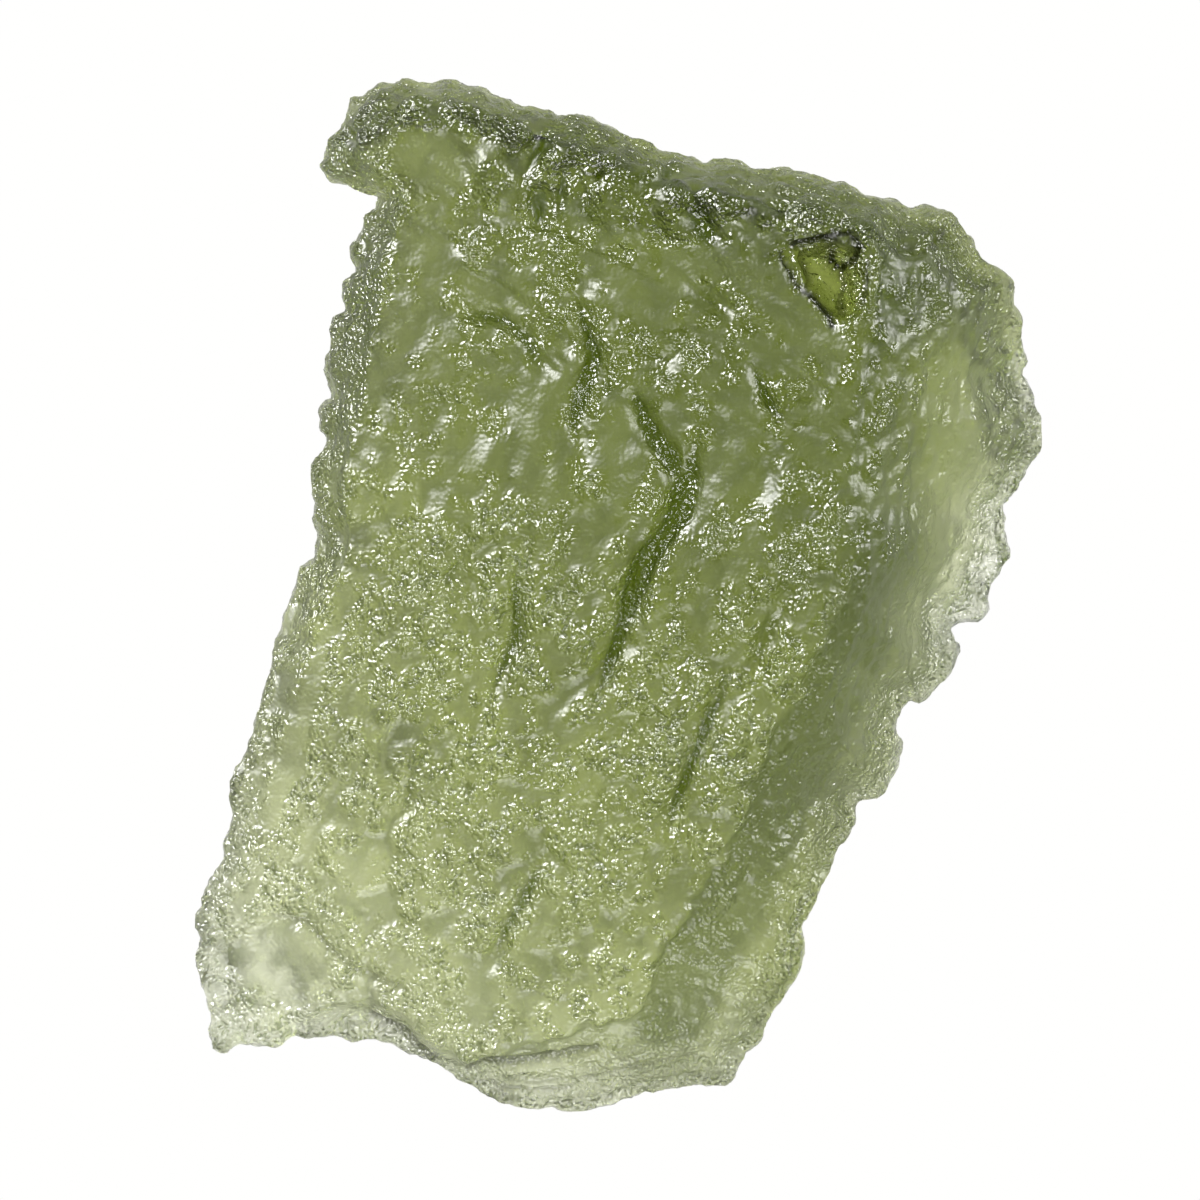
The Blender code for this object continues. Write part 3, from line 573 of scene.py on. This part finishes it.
def underside_height(points, rim):
    """The height of the lower surface at each point: lowest at the foot, and rising to the rim."""
    to_rim = near_line(points, rim, closed=True)[0]
    from_foot = np.linalg.norm((points - FOOT_CENTRE) / FOOT_RADII, axis=1)
    to_foot = np.maximum(from_foot - 1.0, 0.0) * min(FOOT_RADII)
    rise = (to_foot / (to_rim + to_foot + 1e-6)) ** UNDERSIDE_CURVE
    return rim_fields(points)[0] * rise - FOOT_CUT


def surface_points(outline):
    """The outline's points, then a triangular lattice of points inside it that keeps clear of it."""
    low, high = outline.min(axis=0), outline.max(axis=0)
    lattice = []
    for number, y in enumerate(np.arange(low[1], high[1], LATTICE * math.sqrt(0.75))):
        shift = LATTICE / 2.0 * (number % 2)
        lattice += [(x + shift, y) for x in np.arange(low[0], high[0], LATTICE)]
    lattice = np.array(lattice)
    lattice = lattice[inside(lattice, outline)]
    clear = near_line(lattice, outline, closed=True)[0] > 0.55 * LATTICE
    return np.concatenate([outline, lattice[clear]])


def triangulated(points, outline):
    """Counterclockwise triangles over the points and inside the outline, which is the first of them."""
    count = len(outline)
    border = [(here, (here + 1) % count) for here in range(count)]
    found = geometry.delaunay_2d_cdt([Vector(p) for p in points], border, [], 0, 1e-6, True)
    corners = np.array([[found[3][corner][0] for corner in face] for face in found[2]])
    kept = corners[inside(points[corners].mean(axis=1), outline)]
    a, b, c = points[kept].transpose(1, 0, 2)
    left_turn = (b - a)[:, 0] * (c - a)[:, 1] > (b - a)[:, 1] * (c - a)[:, 0]
    return np.where(left_turn[:, None], kept, kept[:, ::-1])


def form_mesh():
    """The stone's form: an upper surface, an underside, and the rim's narrow wall between them."""
    rim = closed_curve(RIM, LATTICE)
    points = surface_points(rim)
    upward = triangulated(points, rim)
    top = np.column_stack([points, top_height(points, rim)])
    base = np.column_stack([points, underside_height(points, rim)])
    count, edge = len(points), len(rim)
    downward = upward[:, ::-1] + count
    wall = [(here, (here + 1) % edge, (here + 1) % edge + count, here + count) for here in range(edge)]
    mesh = bpy.data.meshes.new("form")
    faces = upward.tolist() + downward.tolist() + wall
    mesh.from_pydata((np.concatenate([top, base]) * MM).tolist(), [], faces)
    return mesh


def with_modifier(mesh, kind, **settings):
    """A copy of the mesh as one modifier leaves it."""
    holder = bpy.data.objects.new("holder", mesh)
    bpy.context.scene.collection.objects.link(holder)
    modifier = holder.modifiers.new(kind.lower(), kind)
    for name, value in settings.items():
        setattr(modifier, name, value)
    graph = bpy.context.evaluated_depsgraph_get()
    result = bpy.data.meshes.new_from_object(holder.evaluated_get(graph))
    bpy.data.objects.remove(holder)
    return result


def coordinates(mesh, what="co"):
    """The mesh's points or their normals as an array."""
    values = np.empty(len(mesh.vertices) * 3)
    mesh.vertices.foreach_get(what, values)
    return values.reshape(-1, 3)


def knobs(points, spacing, stretch, seed):
    """Round knobs from 0 in the valleys between them to 1 at their tops, drawn out along the stone."""
    place = turned(points, KNOB_DIRECTION) / (spacing * stretch, spacing, spacing)
    nearest = np.array([noise.voronoi(Vector((x, y, z + seed)))[0][0] for x, y, z in place])
    return 1.0 - np.minimum(1.0, KNOB_FULLNESS * nearest) ** 2


def noise_at(points, size, seed=0.0):
    """Smooth noise from about -1 to 1, with bumps of this size."""
    return np.array([noise.noise(Vector((x, y, z + seed))) for x, y, z in points / size])


def long_noise(points, degrees, spacing, seed):
    """Smooth noise that is drawn out in one direction."""
    return noise_at(turned(points, degrees) / (LONG_STRETCH, 1.0, 1.0), spacing, seed)


def strip(flat, half_width, fade, line):
    """1 beside a line and 0 away from it, fading over this width."""
    return 1.0 - smoothstep(half_width, half_width + fade, near_line(flat, line)[0])


def right_flank_share(flat):
    """1 on the wide right flank and 0 elsewhere, with a toothed border along the ridge."""
    gap = near_line(flat, FACE_EDGE, closed=True)[0]
    beyond = np.where(inside(flat, FACE_EDGE), -gap, gap)
    level = np.column_stack([flat, np.zeros(len(flat))])
    tooth = RIDGE_TOOTH * noise_at(level, RIDGE_TOOTH_SIZE, SEED["ridge teeth"])
    distance, _, side = near_line(flat, RIGHT_OF)
    right = smoothstep(-RIGHT_FADE, RIGHT_FADE, -side * distance)
    return smoothstep(-RIDGE_FADE, RIDGE_FADE, beyond + tooth) * right


def satin_share(flat):
    """1 inside the satin patches and 0 outside them."""
    share = np.zeros(len(flat))
    for x, y, half_length, half_width, degrees in SATIN_PATCHES:
        place = turned(flat - (x, y), degrees) / (half_length, half_width)
        share = np.maximum(share, 1.0 - smoothstep(0.6, 1.3, np.linalg.norm(place, axis=1)))
    return share


def crack_share(flat):
    """How dark the cracks are painted at each point, which also sets how deep they are cut, and 0 away from
    them.
    """
    share = np.zeros(len(flat))
    for half_width, darkness, line in CRACKS:
        share = np.maximum(share, darkness * strip(flat, half_width, CRACK_FADE, line))
    return share


def fresh_share(points):
    """1 on the glossy fresh chip and 0 elsewhere."""
    flat = points[:, :2]
    share = smoothstep(0.0, GLOSS_FADE, near_line(flat, CHIP, closed=True)[0])
    return np.where(inside(flat, CHIP) & (points[:, 2] > GLOSS_ABOVE), share, 0.0)


def ripples(points):
    """Two sets of long low ripples on the upper half: along the ledges, and further down along the stone."""
    place = points[:, 1] + 0.4 * points[:, 0]
    across = long_noise(points, LEDGE_RIPPLE_DIRECTION, LEDGE_RIPPLE_SPACING, SEED["ledge ripples"])
    length = long_noise(points, LONG_RIPPLE_DIRECTION, LONG_RIPPLE_SPACING, SEED["long ripples"])
    upper = smoothstep(-4.0, 0.0, place) * (1.0 - smoothstep(5.5, 8.0, place))
    return across * smoothstep(4.5, 7.0, place), length * upper


def skin_zones(points, normals):
    """How far each point belongs to each zone of the skin, from 0 to 1, and where it lies by the rim."""
    flat = points[:, :2]
    x, y = flat.T
    zone = SimpleNamespace()
    zone.to_rim, zone.along_rim, _ = near_line(flat, RIM, closed=True)
    zone.up = smoothstep(0.1, 0.5, normals[:, 2])
    zone.level = smoothstep(0.1, 0.5, np.abs(normals[:, 2]))
    zone.steep = smoothstep(0.04, 0.40, 1.0 - normals[:, 2])
    zone.upper_half = smoothstep(-2.0, 4.0, y + 0.25 * x)
    zone.satin = zone.up * satin_share(flat)
    zone.furrow = smoothstep(0.14, 0.36, furrow_depth(flat))
    zone.oval_pit = smoothstep(0.25, 0.42, hollow_depth(flat))
    zone.crack = zone.up * crack_share(flat)

    beside = {name: strip(flat, *line) for name, line in STRIPS.items()}
    zone.slope = zone.up * beside["rough slope"]
    zone.band = zone.up * beside["streaked band"]
    zone.rough_edge = np.maximum(zone.slope, 1.0 - smoothstep(0.5, 1.3, zone.to_rim))

    zone.flank = zone.up * right_flank_share(flat)
    zone.pitted_flank = np.maximum.reduce([strip(flat, *line) for line in PITTED_FLANK])
    zone.shoulder = beside["shoulder"]
    zone.upper_rim = beside["upper rim"]
    to_face = near_line(flat, FACE_EDGE, closed=True)[0]
    zone.ridge_foot = zone.flank * (1.0 - smoothstep(0.15, 0.80, to_face))
    zone.thick_flank = zone.flank * beside["thick flank"]
    zone.flank_top = zone.flank * smoothstep(6.0, 9.0, y - 0.5 * (x - 10.0))
    zone.outer_flank = zone.flank * smoothstep(9.4, 10.4, x + 0.12 * y)
    zone.pale_edge = np.maximum(beside["pale edge"], 0.8 * zone.outer_flank)
    return zone


def skin_forms(points):
    """The knobs, streaks and ripples at each point, before they are scaled to their heights."""
    form = SimpleNamespace()
    shift = np.column_stack([noise_at(points, KNOB_SHIFT_SIZE, seed) for seed in SHIFT_SEEDS])
    place = points + KNOB_SHIFT * shift
    form.knob = knobs(place, KNOB_SPACING, KNOB_STRETCH, SEED["knobs"])
    form.small_knob = knobs(place, SMALL_KNOB_SPACING, SMALL_KNOB_STRETCH, SEED["small knobs"])
    form.streak = long_noise(points, STREAK_DIRECTION, STREAK_SPACING, SEED["streaks"])
    form.across, form.length = ripples(points)
    return form


def knob_height(zone, form):
    """How far the knobs stand out at each point: most on the rough slope, and little on the calm places."""
    plain = np.maximum(0.55 * zone.upper_half, 0.85 * zone.flank * (1.0 - 0.5 * zone.pitted_flank))
    calm = zone.up * np.maximum(plain, 0.7 * zone.satin) * (1.0 - zone.slope)
    strength = (1.0 - calm) * (1.0 + 0.8 * zone.slope) * (0.2 + 0.8 * zone.level)
    height = KNOB_HEIGHT * (form.knob - KNOB_MIDDLE) + SMALL_KNOB_HEIGHT * (form.small_knob - KNOB_MIDDLE)
    return height * strength


def flutes(zone):
    """The flutes at each point: they follow the rim, and bend a little on their way up from it."""
    places = zip(zone.along_rim / FLUTE_SPACING, FLUTE_BEND * zone.to_rim)
    wave = np.array([noise.noise(Vector((along, inward, SEED["flutes"]))) for along, inward in places])
    return wave * np.exp(-zone.to_rim / FLUTE_REACH)


def skin_height(points, zone, form):
    """How far the etched skin stands out at each point."""
    height = knob_height(zone, form) + SWELL_HEIGHT * noise_at(points, SWELL_SIZE)
    height += STREAK_HEIGHT * form.streak * zone.band
    height += RIPPLE_HEIGHT * (form.across + form.length) * (1.0 - zone.flank)
    height += FLANK_GRAIN_HEIGHT * noise_at(points, FLANK_GRAIN_SIZE, SEED["flank grain"]) * zone.flank
    height += GRIT_HEIGHT * noise_at(points, GRIT_SIZE, SEED["grit"]) * np.exp(-zone.to_rim / GRIT_REACH)
    height += FLUTE_DEPTH * flutes(zone)
    return height - RIDGE_STEP * zone.flank - CRACK_DEPTH * zone.crack


def pitted_share(points, zone, form):
    """How densely the skin is pitted at each point: in patches on the knobs, and along the rough edges."""
    patches = 0.35 * form.knob + 0.65 * form.small_knob
    patches += 0.35 * noise_at(points, PATCH_SIZE, SEED["patches"])
    patches += 0.25 * noise_at(points, PATCH_EDGE_SIZE, SEED["patch edges"])
    cover = 0.30 + 0.20 * zone.upper_half * (1.0 - np.maximum(zone.rough_edge, zone.band))
    pitted = smoothstep(cover - 0.08, cover + 0.40, patches) * (1.0 - 0.9 * zone.satin)
    pitted *= 1.0 - zone.flank * (1.0 - np.maximum(0.40, 0.9 * zone.pitted_flank))
    pitted = np.maximum(pitted, 0.9 * zone.rough_edge * smoothstep(0.1, 0.4, patches))
    return np.maximum(pitted, 0.55 * zone.furrow) * (1.0 - zone.oval_pit) * (1.0 - 0.4 * zone.band)


def painted_shade_share(points, zone, form):
    """How much painted shade darkens the glass's colour at each point: in its folds, on steep places, and in
    zones such as where the stone is thickest.
    """
    top = 0.5 * form.knob + 0.5 * form.small_knob
    broken = smoothstep(-0.3, 0.3, noise_at(points, BROKEN_SIZE, SEED["broken edge"]))
    ripple = smoothstep(-0.05, 0.45, -form.across) + smoothstep(-0.05, 0.45, -form.length)
    # Painted shade in each fold and darker zone
    folds = {
        "valley": (1.0 - smoothstep(0.10, 0.60, top)) * (1.0 - 0.6 * zone.flank),
        "furrow": zone.furrow,
        "oval pit": zone.oval_pit,
        "streak": zone.band * (0.4 + 0.6 * smoothstep(-0.1, 0.4, -form.streak)),
        "ripple": ripple * (1.0 - zone.flank),
        "broken edge": broken * (1.0 - smoothstep(0.05, 0.35, zone.to_rim)),
        "steep place": zone.steep * (1.0 - zone.pale_edge),
        "rough slope": zone.slope,
        "shoulder": zone.shoulder,
        "upper rim": zone.upper_rim,
        "foot of the ridge": zone.ridge_foot,
        "thick flank": zone.thick_flank,
        "top of the flank": zone.flank_top,
    }
    fold = np.maximum.reduce([DEPTH_OF_SHADE[name] * share for name, share in folds.items()])
    # Painted shade over the whole etched skin, stronger on its upper half, and a little on the flank but not
    # on its outer part
    plain = (0.04 + 0.36 * zone.upper_half) * (1.0 - zone.flank)
    plain += 0.15 * zone.flank * (1.0 - zone.outer_flank)
    return zone.up * (plain + (1.0 - plain) * fold) * (1.0 - fresh_share(points))


def speck_shade_share(points, zone):
    """How black the painted shade specks between the pits are at each point."""
    rough = {
        "rough slope": zone.slope,
        "streaked band": zone.band,
        "top of the flank": zone.flank_top,
        "upper rim": zone.upper_rim,
    }
    strength = np.maximum.reduce([SPECK_SHADE_STRENGTH[name] * share for name, share in rough.items()])
    return zone.up * smoothstep(0.0, 0.35, noise_at(points, SPECK_SIZE, SEED["specks"])) * strength


def skin(points, normals):
    """How far the etched skin stands out at each point, and the shares of its finishes and its painted shade
    there.
    """
    zone = skin_zones(points, normals)
    form = skin_forms(points)
    pitted = pitted_share(points, zone, form)
    satin_flank = 0.7 * zone.flank * (1.0 - 0.8 * zone.pitted_flank)
    return skin_height(points, zone, form), {
        "pitted": pitted,
        "frosted": np.maximum(satin_flank, 1.0 - smoothstep(0.1, 0.4, pitted)),
        # These two shares are painted shade: deep green in the folds and darker zones, near black in the
        # cracks and specks
        "deep": painted_shade_share(points, zone, form),
        "crack_and_speck_shade": np.maximum(zone.crack, speck_shade_share(points, zone)),
    }


def attribute(mesh, name, values):
    """Keeps one number for each point of the mesh, for its material to read."""
    mesh.attributes.new(name, "FLOAT", "POINT").data.foreach_set("value", values.astype(np.float32))


def stone_piece():
    """The whole stone as one closed mesh."""
    mesh = with_modifier(form_mesh(), "REMESH", mode="VOXEL", voxel_size=SKIN_VOXEL * MM)
    mesh = with_modifier(mesh, "SMOOTH", iterations=1)
    points, normals = coordinates(mesh) / MM, coordinates(mesh, "normal")
    low, high = points.min(axis=0), points.max(axis=0)
    height, shares = skin(points, normals)
    points += normals * height[:, None]
    points[:, :2] = np.clip(points[:, :2], low[:2], high[:2])
    points[:, 2] = np.maximum(points[:, 2], 0.0)
    mesh.vertices.foreach_set("co", (points * MM).ravel())
    mesh.update()
    for name, share in shares.items():
        attribute(mesh, name, share)
    attribute(mesh, "fresh", fresh_share(points))
    mesh.shade_smooth()
    mesh.name = "moldavite_stone"
    stone = bpy.data.objects.new("moldavite_stone", mesh)
    bpy.context.scene.collection.objects.link(stone)
    return stone


def linear(colour):
    """A colour written as an sRGB hex value, as the linear numbers that a shader takes."""
    parts = [int(colour[start:start + 2], 16) / 255.0 for start in (1, 3, 5)]
    return tuple(p / 12.92 if p <= 0.04045 else ((p + 0.055) / 1.055) ** 2.4 for p in parts) + (1.0,)


def add(tree, kind, settings=None, inputs=None):
    """Adds one node with its settings. Each input is set to its value, or linked from a node's output."""
    node = tree.nodes.new(kind)
    for name, value in (settings or {}).items():
        setattr(node, name, value)
    for name, value in (inputs or {}).items():
        if isinstance(value, bpy.types.NodeSocket):
            tree.links.new(value, node.inputs[name])
        else:
            node.inputs[name].default_value = value
    return node


def ranged(tree, value, low, high, limits=(0.0, 1.0)):
    """A value that runs between two limits, as one that runs from low to high."""
    inputs = {"Value": value, "From Min": limits[0], "From Max": limits[1], "To Min": low, "To Max": high}
    return add(tree, "ShaderNodeMapRange", {}, inputs).outputs["Result"]


def combined(tree, operation, first, second):
    """Two values put together by a calculation."""
    return add(tree, "ShaderNodeMath", {"operation": operation}, {0: first, 1: second}).outputs["Value"]


def mixed(tree, share, first, second):
    """One colour that turns into another as the share grows from 0 to 1."""
    inputs = {"Factor": share, "A": first, "B": second}
    return add(tree, "ShaderNodeMix", {"data_type": "RGBA"}, inputs).outputs["Result"]


def etched_moldavite():
    """Moldavite: natural silica glass, etched in the ground.

    Acid water has left it satin in the hollows and covered its knobs with pits about 0.12 mm wide, which
    glint like silver. The glass itself is clear bottle green with olive, so it is palest where it is thin.
    The folds, the bottoms of the pits, the cracks and black specks have painted shade: their colour is
    darkened where they would catch less of the light.
    """
    material = bpy.data.materials.new("etched_moldavite")
    material.use_nodes = True
    tree = material.node_tree
    tree.nodes.clear()
    out = add(tree, "ShaderNodeOutputMaterial")
    place = add(tree, "ShaderNodeTexCoord").outputs["Object"]
    # The third and fourth attributes carry painted shade
    pitted, frosted, deep, crack_and_speck_shade, fresh = (
        add(tree, "ShaderNodeAttribute", {"attribute_name": name}).outputs["Fac"]
        for name in ("pitted", "frosted", "deep", "crack_and_speck_shade", "fresh")
    )

    # The grain: lumps with pits in them, which both fade where the skin is satin
    grain = add(tree, "ShaderNodeTexNoise", {}, {
        "Vector": place,
        "Scale": 1.0 / (LUMP_SPACING * MM),
        "Detail": 1.0,
        "Roughness": ranged(tree, pitted, SATIN_DETAIL, 1.0),
        "Lacunarity": LUMP_SPACING / PIT_SPACING,
    }).outputs["Fac"]
    bump = add(tree, "ShaderNodeBump", {}, {
        "Height": grain,
        "Strength": ranged(tree, pitted, SATIN_SHARE, 1.0),
        "Distance": GRAIN_DEPTH * MM,
    })

    # Painted shade in the surface's colour: none, then the folds' and the pits' deep green, then the cracks'
    # and specks' near black
    # Painted shade at the bottoms of the pits
    bottom = combined(tree, "MULTIPLY", ranged(tree, grain, 0.0, PIT_SHADE, PIT_BOTTOM), pitted)
    shade = combined(tree, "MAXIMUM", bottom, deep)
    green = mixed(tree, shade, linear("#ffffff"), linear(PAINTED_SHADE_TINT))
    tint = mixed(tree, crack_and_speck_shade, green, linear(CRACK_SHADE_TINT))

    # The roughness: etched, softer where it is frosted, and glossy on the fresh chip
    etched = ranged(tree, frosted, ETCHED_ROUGHNESS, FROSTED_ROUGHNESS)
    surface = add(tree, "ShaderNodeBsdfPrincipled", {}, {
        "Base Color": tint,
        "Transmission Weight": 1.0,
        "IOR": GLASS_IOR,
        "Roughness": ranged(tree, fresh, etched, FRESH_ROUGHNESS),
        "Normal": bump.outputs["Normal"],
    })
    inner = add(tree, "ShaderNodeVolumeAbsorption", {}, {
        "Color": linear(GLASS_TINT),
        "Density": GLASS_DENSITY,
    })
    tree.links.new(surface.outputs["BSDF"], out.inputs["Surface"])
    tree.links.new(inner.outputs["Volume"], out.inputs["Volume"])
    return material


def glowing_panel():
    """The floor: a sheet of white opal acrylic, lit from below, so bright that no highlight shows on it."""
    material = bpy.data.materials.new("opal_acrylic_panel")
    material.use_nodes = True
    shader = material.node_tree.nodes["Principled BSDF"]
    shader.inputs["Base Color"].default_value = linear("#000000")
    shader.inputs["Specular IOR Level"].default_value = 0.0
    shader.inputs["Emission Color"].default_value = linear(FLOOR_COLOUR)
    shader.inputs["Emission Strength"].default_value = 1.0
    material.cycles.emission_sampling = "NONE"
    return material


def floor_panel():
    """A plain level floor under the stone."""
    mesh = bpy.data.meshes.new("floor")
    half = FLOOR_SIZE / 2.0
    corners = [(-half, -half, 0.0), (half, -half, 0.0), (half, half, 0.0), (-half, half, 0.0)]
    mesh.from_pydata(corners, [], [(0, 1, 2, 3)])
    mesh.materials.append(glowing_panel())
    floor = bpy.data.objects.new("floor", mesh)
    floor.location.z = -FLOOR_GAP
    bpy.context.scene.collection.objects.link(floor)


def soft_light(name, place, size, power):
    """A square soft light that faces the stone."""
    data = bpy.data.lights.new(name, "AREA")
    data.size = size
    data.energy = power
    light = bpy.data.objects.new(name, data)
    light.location = place
    light.rotation_euler = (-Vector(place)).to_track_quat("-Z", "Y").to_euler()
    bpy.context.scene.collection.objects.link(light)


def studio():
    """The glowing floor and soft lights round it, in a dim tent that is darkest overhead, by the camera."""
    floor_panel()
    for name, place, size, power in LIGHTS:
        soft_light(name, place, size, power)
    world = bpy.data.worlds.new("tent")
    world.use_nodes = True
    tree = world.node_tree
    direction = add(tree, "ShaderNodeTexCoord").outputs["Generated"]
    height = add(tree, "ShaderNodeSeparateXYZ", {}, {"Vector": direction}).outputs["Z"]
    shade = ranged(tree, height, *TENT_STRENGTH, TENT_HEIGHTS)
    shade.node.interpolation_type = "SMOOTHSTEP"
    tree.links.new(shade, tree.nodes["Background"].inputs["Strength"])
    bpy.context.scene.world = world


def camera():
    """A long lens straight above the stone, with the hooked end at the top of the picture."""
    data = bpy.data.cameras.new("camera")
    data.lens = LENS
    data.sensor_width = SENSOR
    data.clip_start = NEAR_CLIP
    view = bpy.data.objects.new("camera", data)
    distance = VIEW_WIDTH * LENS / SENSOR + VIEW_PLANE
    view.location = (VIEW_CENTRE[0] * MM, VIEW_CENTRE[1] * MM, distance * MM)
    bpy.context.scene.collection.objects.link(view)
    bpy.context.scene.camera = view


camera()
studio()
stone = stone_piece()
stone.data.materials.append(etched_moldavite())
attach(stone, "root")
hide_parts("moldavite")
bpy.context.scene.view_settings.view_transform = "Standard"
